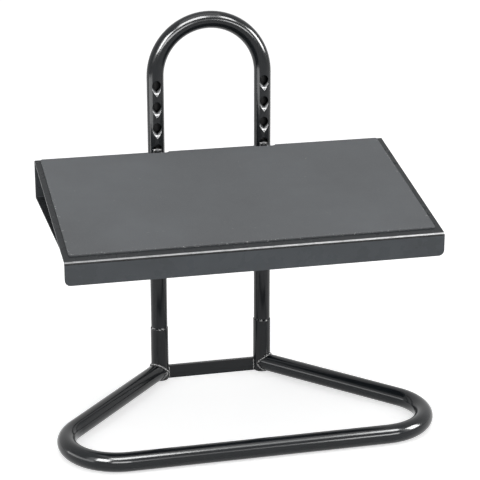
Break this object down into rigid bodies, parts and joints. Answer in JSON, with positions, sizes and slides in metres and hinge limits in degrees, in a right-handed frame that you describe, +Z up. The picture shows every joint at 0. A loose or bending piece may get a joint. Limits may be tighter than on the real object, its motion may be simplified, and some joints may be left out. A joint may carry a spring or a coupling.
{
  "type": "under desk footrest",
  "caption": "Under-desk footrest: a sloping sheet platform with a foot mat hangs on a notched tube mast that stands on a bent tube ring; its height and tilt change.",
  "frame": {"origin": "on the floor under the middle of the cross bar, midway between the two legs", "axes": "+Z up; -Y towards the sitting person; +X along the cross bar, to the person's right"},
  "size_m": [0.483, 0.3009, 0.5026],
  "materials": {
    "black_paint": "gloss",
    "plug_plastic": "satin",
    "black_steel": "black zinc",
    "mat_rubber": "matte"
  },
  "bodies": {
    "stand": {"base_tube": "black_paint", "left_socket": "black_paint", "right_socket": "black_paint", "cross_bar": "black_paint", "side_bar_welds": "black_paint", "cross_bar_welds": "black_paint", "left_socket_plug": "plug_plastic", "right_socket_plug": "plug_plastic", "mast_tube": "black_paint", "socket_screws": "black_steel"},
    "pins": {"left_pivot_pin": "black_steel", "right_pivot_pin": "black_steel"},
    "platform": {"platform_tray": "black_paint", "under_panel": "black_paint", "left_hanger": "black_paint", "right_hanger": "black_paint", "hanger_welds": "black_paint", "foot_mat": "mat_rubber"}
  },
  "joints": [
    {"name": "platform_height", "type": "slide", "parent": "stand", "child": "pins", "axis": [0, 0, 1], "range_m": [-0.084, 0.084]},
    {"name": "platform_tilt", "type": "hinge", "parent": "pins", "child": "platform", "pos_m": [0, -0.0038, 0.32281], "axis": [-1, 0, 0], "range_deg": [0, 40]}
  ]
}
